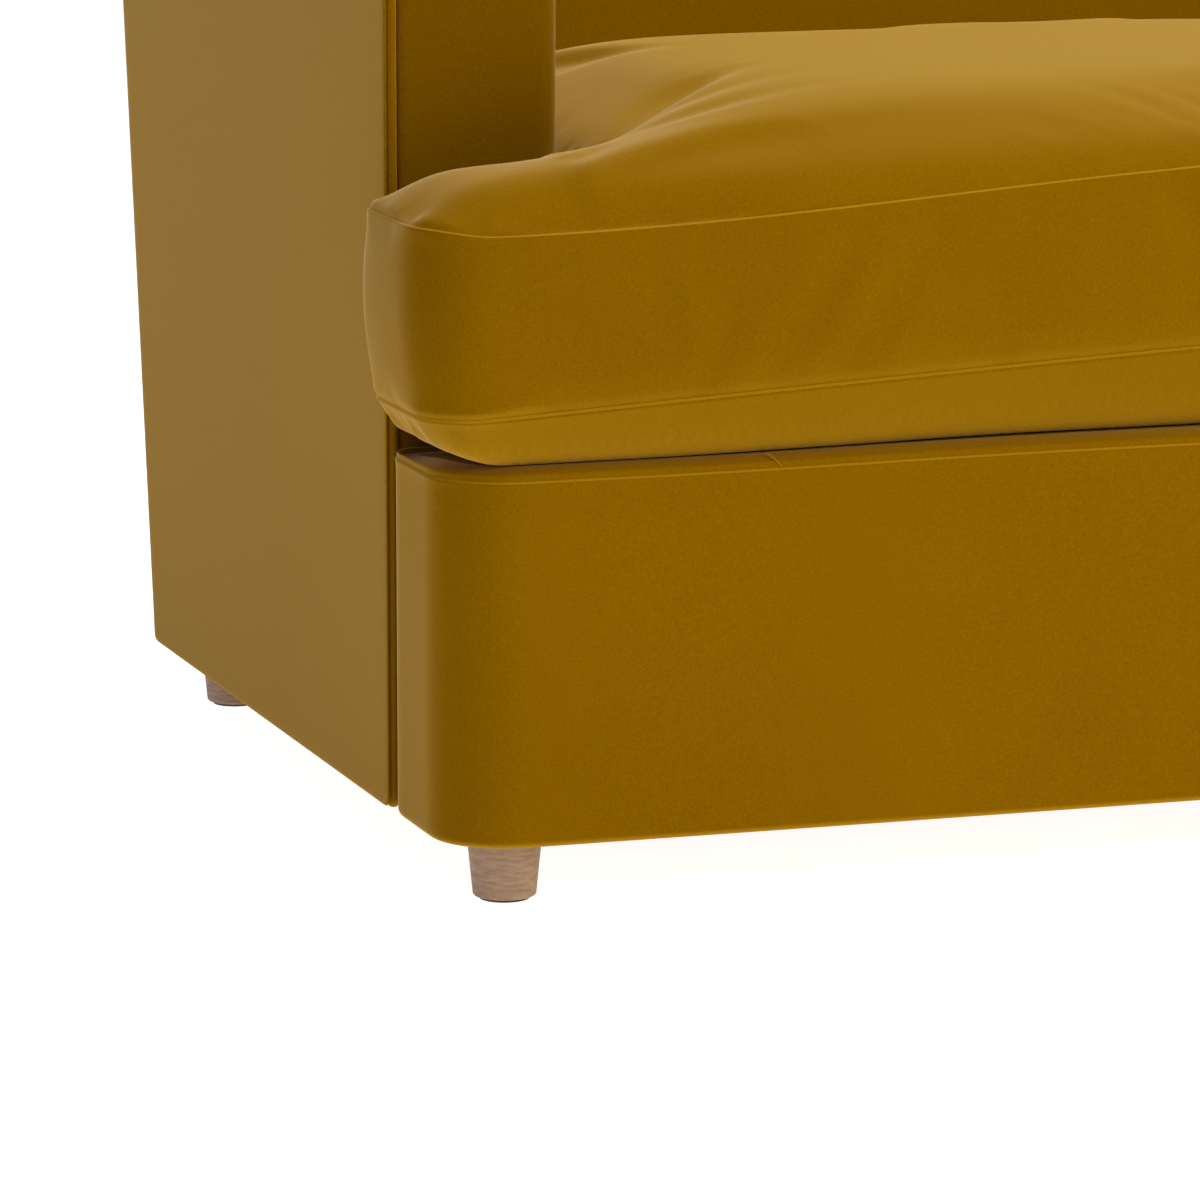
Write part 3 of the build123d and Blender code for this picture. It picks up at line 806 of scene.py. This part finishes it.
def seat_cushion():
    """The T cushion: crowned top, border between two seams, and an underside that rolls in."""
    sizes = bpy.context.scene.settee_sizes
    low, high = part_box("seat_cushion")
    outline = cushion_outline()
    box_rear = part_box("front_cover")[1][1]
    past_box = 25 * MM
    down_to_box = 2.6 * MM
    ear_lift = 14 * MM
    across = np.abs(outline[:, 0]) / high[0]
    seam_low, seam_high = cushion_seams(across)
    tuck = 4 * MM
    rows = seam_rows(tuck, seam_low, lean=0.5)
    for k in range(1, BORDER_LEVELS):
        part = k / BORDER_LEVELS
        swell = sizes.border_bulge * math.sin(math.pi * part)
        rows.append((tuck * (1 - part) - swell, seam_low + (seam_high - seam_low) * part))
    upper = len(rows)
    rows += seam_rows(0.0, seam_high, lean=-0.35)

    def underside(points, gap, edge_height, swelling):
        """It rolls in to rest on the front box and the deck, and lifts a little at the ears."""
        along = np.abs(points[:, 0]) / high[0]
        crowned, pressed = box_top_shape(along)
        roll = sizes.underside_roll * (1 - 0.4 * smooth(0.4, 0.8, along))
        part = np.clip(gap / roll, 0, 1)
        above_box = smooth(box_rear + past_box, box_rear, points[:, 1])
        sag = (down_to_box + pressed - crowned) * above_box
        lift = ear_lift * smooth(0.915, 1.0, along)
        rest = low[2] - sag + lift
        return edge_height - (edge_height - rest) * np.sqrt(1 - (1 - part) ** 2)

    def crown(points, gap, edge_height, swelling):
        """It rises steeply beside the seam, then gently towards the middle."""
        along = np.abs(points[:, 0]) / high[0]
        base = cushion_seams(along)[1] + SEAM_LEVELS[-1]
        top = sizes.crown_end + (sizes.crown_middle - sizes.crown_end) * (1 - along ** 2)
        steep = 0.3 * swelling(8 * MM)
        return base + (top - base) * (steep + 0.7 * swelling(sizes.crown_reach))

    made = Padded(outline, rows, underside, crown, sizes.step)
    thing = new_mesh_object("t_seat_cushion", made.points, made.faces)
    lower, top = made.caps
    gap = nearest_station(made.points[lower, :2], outline)[0]
    resting = lower[gap > 0.8 * sizes.underside_roll]
    seams = np.concatenate([made.rings[SEAM_RING], made.rings[upper + SEAM_RING]])
    settle(thing, np.concatenate([resting, seams]), pressure=3.0, slack=0.001, reach=9 * MM)
    over_ears = top[np.abs(made.points[top, 0]) > 0.83 * high[0]]
    ease(thing, over_ears, rounds=14)
    pucker(thing, low, high)
    paint_seam_highlights(thing, made, [0, upper])
    sew(thing, [seam_rings(made, 0), seam_rings(made, upper)])
    finish_soft(thing, "cushion", ["seat_cushion"])


def cushion_seams(across):
    """Heights of the cushion's lower and upper seams; across is 0 at the middle, 1 at an ear."""
    sizes = bpy.context.scene.settee_sizes
    low_rise = np.clip(1 - 1.06 * across ** 1.15, 0, 1)
    high_rise = np.cos(math.pi / 2 * np.minimum(1, across / 0.95)) ** 2
    side_rise = 4.5 * MM * smooth(0.93, 1.0, across)
    low = sizes.seam_low_end + (sizes.seam_low_middle - sizes.seam_low_end) * low_rise
    high = sizes.seam_high_end + (sizes.seam_high_middle - sizes.seam_high_end) * high_rise
    return low, high + side_rise


def ease(thing, chosen, rounds):
    """Smooth away the small wrinkles at the chosen points, where the cloth is drawn tight."""
    made = bmesh.new()
    made.from_mesh(thing.data)
    made.verts.ensure_lookup_table()
    points = [made.verts[k] for k in chosen]
    for _ in range(rounds):
        bmesh.ops.smooth_vert(made, verts=points, factor=0.5,
                              use_axis_x=True, use_axis_y=True, use_axis_z=True)
    made.to_mesh(thing.data)
    made.free()


def pucker(thing, low, high):
    """Soft creases where the border's cloth is a little loose on its filling."""
    points = mesh_points(thing)
    normal = point_normals(thing)
    for start, height, lean, reach, width, depth in BORDER_CREASES:
        for side, _ in SIDES:
            u = high[0] - side * points[:, 0] - start - lean * (points[:, 2] - height)
            v = points[:, 2] - height
            faces_front = smooth(0.5, 0.9, -normal[:, 1])
            fold = -np.exp(-(u / width) ** 2) + 0.6 * np.exp(-((u - 1.7 * width) / width) ** 2)
            dip = depth * fold * np.exp(-(v / reach) ** 2) * faces_front
            points += normal * dip[:, None]
    set_mesh_points(thing, points)


def arm_side_outline(inset, radius, step):
    """An arm's side outline of (depth, height), with its raked rear, moved inwards."""
    low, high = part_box("arm_wrap_right")
    rear_bottom = high[1] - RAKE * (high[2] - low[2])
    front = low[1] + inset
    base = low[2] + inset
    top = high[2] - inset
    slant = inset / math.cos(math.atan(RAKE))
    top_corner = 24 * MM
    rear_at = lambda height: rear_bottom + RAKE * (height - low[2]) - slant
    return rounded_outline(
        [(front, base, radius), (rear_at(base), base, radius),
         (rear_at(top), top, top_corner), (front, top, top_corner)], step)


def sideways(side):
    """Turns a form built as (depth, height, distance from the middle) to the left or right."""
    return Matrix(((0, 0, side, 0), (1, 0, 0, 0), (0, 1, 0, 0), (0, 0, 0, 1)))


def arm_covers():
    """Each arm: a flat outer panel with a rounded bead at its edge, and a softer wrap."""
    sizes = bpy.context.scene.settee_sizes
    panel_low, panel_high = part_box("arm_side_panel_right")
    wrap_low, wrap_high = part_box("arm_wrap_right")
    wrap_inset = 3 * MM
    wrap_corner = 20 * MM
    inner_edge = 18 * MM
    swell = 1.2 * MM
    levels = 8
    for side, word in SIDES:
        outline = arm_side_outline(0, PANEL_CORNER, sizes.step)
        rows = [(inset * MM, panel_high[0] - back * MM) for inset, back in PANEL_EDGE]
        made = Padded(outline, rows, flat_cap, flat_cap, sizes.step * 1.6)
        thing = new_mesh_object(f"arm_outer_panel_{word}", made.points, made.faces,
                                sideways(side))
        sew(thing, [seam_rings(made, PANEL_SEAM - SEAM_RING)], PANEL_SEAM_DEPTH, 0)
        finish_soft(thing, "base", [f"arm_side_panel_{word}"])

        outline = arm_side_outline(wrap_inset, wrap_corner, sizes.step)
        rows = arc_rows(inner_edge, wrap_low[0], rising=True, steps=6)
        across = np.linspace(wrap_low[0] + inner_edge, panel_low[0] - 2 * MM, levels + 1)
        rows += [(-swell * math.sin(math.pi * k / levels), across[k])
                 for k in range(1, levels + 1)]
        rows.append((2.5 * MM, panel_low[0]))
        made = Padded(outline, rows, flat_cap, flat_cap, sizes.step * 1.4)
        thing = new_mesh_object(f"arm_cover_{word}", made.points, made.faces, sideways(side))
        # Painted shade: the wrap's velvet is a darker copy, at three quarters, for the arm front
        # in the cushion's shadow.
        finish_soft(thing, "base", [f"arm_wrap_{word}"], velvet("velvet_arm_painted_shade", 0.75))


def back_covers():
    """The front pad of the back: crowned, with a border and a seam, over the frame."""
    sizes = bpy.context.scene.settee_sizes
    pad_low, pad_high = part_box("back_pad")
    out_low, out_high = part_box("outside_back")
    half = pad_high[0]
    step = sizes.step * 1.3
    depth = sizes.back_pad_depth
    height = pad_high[2] - pad_low[2]
    corner = 30 * MM
    edge = 28 * MM
    rear_edge = 10 * MM
    border = 30 * MM
    dome = 12 * MM
    outline = rounded_outline([(-half, 0, corner), (half, 0, corner),
                               (half, height, corner), (-half, height, corner)], step)
    rows = arc_rows(edge, -depth, rising=True, steps=7)
    seam_at = -depth + edge + border
    first = len(rows)
    rows += seam_rows(0.0, seam_at)
    rows += [(0.0, at) for at in np.linspace(seam_at + SEAM_LEVELS[-1], -rear_edge, 8)[1:]]
    rows += arc_rows(rear_edge, -rear_edge, rising=False)[1:]

    def crown(points, gap, edge_height, swelling):
        return edge_height - dome * swelling(80 * MM)

    made = Padded(outline, rows, crown, flat_cap, step)
    rear = out_high[1] - RAKE * (out_high[2] - pad_low[2]) - sizes.outside_back_thickness
    place = Matrix.Translation((0, rear, pad_low[2]))
    thing = new_mesh_object("back_front_pad", made.points, made.faces, place @ RAKED_UPRIGHT)
    paint_seam_highlights(thing, made, [first])
    still = np.concatenate([*made.rings[first + SEAM_RING:], made.caps[1]])
    settle(thing, still, pressure=2.0, slack=0.01, reach=8 * MM)
    sew(thing, [seam_rings(made, first)])
    finish_soft(thing, "base", ["back_pad"])


def outside_back_cover():
    """The flat panel behind the back, with the same beaded edge as the arms' outer panels."""
    sizes = bpy.context.scene.settee_sizes
    low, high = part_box("outside_back")
    half = high[0]
    height = high[2] - low[2]
    outline = rounded_outline(
        [(-half, 0, PANEL_CORNER), (half, 0, PANEL_CORNER),
         (half, height, PANEL_CORNER), (-half, height, PANEL_CORNER)], sizes.step * 1.5)
    rows = [(inset * MM, -back * MM) for inset, back in PANEL_EDGE]
    made = Padded(outline, rows, flat_cap, flat_cap, sizes.step * 2)
    place = Matrix.Translation((0, high[1] - RAKE * height, low[2]))
    thing = new_mesh_object("outside_back_panel", made.points, made.faces,
                            place @ RAKED_UPRIGHT)
    sew(thing, [seam_rings(made, PANEL_SEAM - SEAM_RING)], PANEL_SEAM_DEPTH, 0)
    finish_soft(thing, "base", ["outside_back"])


# ---- frame finishes and stage --------------------------------------------------------------
def frame_finishes():
    """Give each hard piece of the frame the material of its slot."""
    slots = {part["node"]: part["material_slot"] for part in frame["record"]["subparts"]}
    finishes = frame_materials()
    for node, thing in frame["nodes"].items():
        finish = finishes[slots[node]]
        if not thing.material_slots:
            thing.data.materials.append(finish)
        for place in thing.material_slots:
            place.material = finish


def make_light(name, place, size, power, tint):
    """A soft rectangular light that points at the settee."""
    data = bpy.data.lights.new(name, "AREA")
    data.shape = "RECTANGLE"
    data.size, data.size_y = size
    data.energy = power
    data.color = tint
    light = bpy.data.objects.new(name, data)
    light.location = place
    light.rotation_euler = (Vector(place) - Vector(LIGHT_AIM)).to_track_quat("Z", "Y").to_euler()
    bpy.context.scene.collection.objects.link(light)


def seen_or_lit(tree, lit, seen):
    """A strength that is one value for the light it gives, and another where it is seen."""
    path = tree.nodes.new("ShaderNodeLightPath")
    return remap(tree, path.outputs["Is Camera Ray"], 0, 1, lit, seen)


def make_camera(scene):
    """A long lens, low in front of the settee's left corner."""
    data = bpy.data.cameras.new("camera")
    data.sensor_width = CAMERA_SENSOR
    data.lens = CAMERA_LENS
    camera = bpy.data.objects.new("camera", data)
    camera.location = CAMERA_PLACE
    camera.rotation_euler = Euler((math.pi / 2 - CAMERA_TILT, 0, -CAMERA_TURN))
    scene.collection.objects.link(camera)
    scene.camera = camera


def make_world(scene):
    """A plain white surround that lights only a little."""
    world = bpy.data.worlds.new("studio")
    world.use_nodes = True
    background = world.node_tree.nodes["Background"]
    background.inputs["Color"].default_value = (1, 1, 1, 1)
    strength = seen_or_lit(world.node_tree, WORLD_LIGHT, 1.0)
    world.node_tree.links.new(strength, background.inputs["Strength"])
    scene.world = world


def make_floor(scene):
    """A wide pale floor, lit from within so that it has no dark side."""
    reach = FLOOR_REACH
    mesh = bpy.data.meshes.new("floor")
    mesh.from_pydata([(-reach, -reach, 0), (reach, -reach, 0), (reach, reach, 0),
                      (-reach, reach, 0)], [], [(0, 1, 2, 3)])
    floor = bpy.data.objects.new("floor", mesh)
    scene.collection.objects.link(floor)
    finish, tree, shader = new_material("floor_paint")
    shader.inputs["Base Color"].default_value = (0.9, 0.9, 0.9, 1)
    shader.inputs["Roughness"].default_value = 0.9
    shader.inputs["Emission Color"].default_value = (1, 1, 1, 1)
    glow = seen_or_lit(tree, FLOOR_LIGHT, FLOOR_BRIGHTNESS)
    tree.links.new(glow, shader.inputs["Emission Strength"])
    mesh.materials.append(finish)


def make_stage():
    """Camera, world, floor and soft lights."""
    scene = bpy.context.scene
    scene.view_settings.view_transform = "Standard"
    make_camera(scene)
    make_world(scene)
    make_floor(scene)
    for name, place, size, power, tint in LIGHTS:
        make_light(name, place, size, power, tint)


# ---- operators, panel and registration -----------------------------------------------------
class SetteeOperator:
    """What every operator here shares."""

    bl_options = {"REGISTER", "UNDO"}


class SETTEE_OT_stage(SetteeOperator, bpy.types.Operator):
    """Make the camera, the pale floor and the soft lights"""
    bl_idname = "settee.stage"
    bl_label = "Stage"

    def execute(self, context):
        make_stage()
        return {"FINISHED"}


class SETTEE_OT_front(SetteeOperator, bpy.types.Operator):
    """Make the padded cover of the front box"""
    bl_idname = "settee.front_cover"
    bl_label = "Front cover"

    def execute(self, context):
        front_cover()
        return {"FINISHED"}


class SETTEE_OT_cushion(SetteeOperator, bpy.types.Operator):
    """Make the T-shaped seat cushion"""
    bl_idname = "settee.seat_cushion"
    bl_label = "Seat cushion"

    def execute(self, context):
        seat_cushion()
        return {"FINISHED"}


class SETTEE_OT_arms(SetteeOperator, bpy.types.Operator):
    """Make the covers of both arms"""
    bl_idname = "settee.arm_covers"
    bl_label = "Arm covers"

    def execute(self, context):
        arm_covers()
        return {"FINISHED"}


class SETTEE_OT_back(SetteeOperator, bpy.types.Operator):
    """Make the covers of the back"""
    bl_idname = "settee.back_covers"
    bl_label = "Back covers"

    def execute(self, context):
        back_covers()
        outside_back_cover()
        return {"FINISHED"}


class SETTEE_OT_frame(SetteeOperator, bpy.types.Operator):
    """Give the wood, steel and lining pieces of the frame their materials"""
    bl_idname = "settee.frame_finishes"
    bl_label = "Frame finishes"

    def execute(self, context):
        frame_finishes()
        return {"FINISHED"}


class SETTEE_PT_panel(bpy.types.Panel):
    """Sidebar panel that lists the settee's pieces and sizes"""
    bl_idname = "SETTEE_PT_panel"
    bl_label = "Storage Settee"
    bl_space_type = "VIEW_3D"
    bl_region_type = "UI"
    bl_category = "Settee"

    def draw(self, context):
        for group in (context.scene.settee_sizes, context.scene.settee_colours):
            for name in group.bl_rna.properties.keys():
                if name not in ("rna_type", "name"):
                    self.layout.prop(group, name)
        for operator in OPERATORS:
            self.layout.operator(operator.bl_idname)


OPERATORS = (SETTEE_OT_stage, SETTEE_OT_frame, SETTEE_OT_front, SETTEE_OT_cushion,
             SETTEE_OT_arms, SETTEE_OT_back)
CLASSES = (SetteeSizes, SetteeColours, *OPERATORS, SETTEE_PT_panel)


def register():
    """Add the classes, and their sizes and colours to the scene."""
    for each in CLASSES:
        bpy.utils.register_class(each)
    bpy.types.Scene.settee_sizes = PointerProperty(type=SetteeSizes)
    bpy.types.Scene.settee_colours = PointerProperty(type=SetteeColours)


def unregister():
    """Take away what register added."""
    del bpy.types.Scene.settee_colours
    del bpy.types.Scene.settee_sizes
    for each in reversed(CLASSES):
        bpy.utils.unregister_class(each)


def main():
    """Register the classes, then make every piece in order."""
    register()
    for operator in OPERATORS:
        group, name = operator.bl_idname.split(".")
        getattr(getattr(bpy.ops, group), name)()


if __name__ == "__main__":
    main()
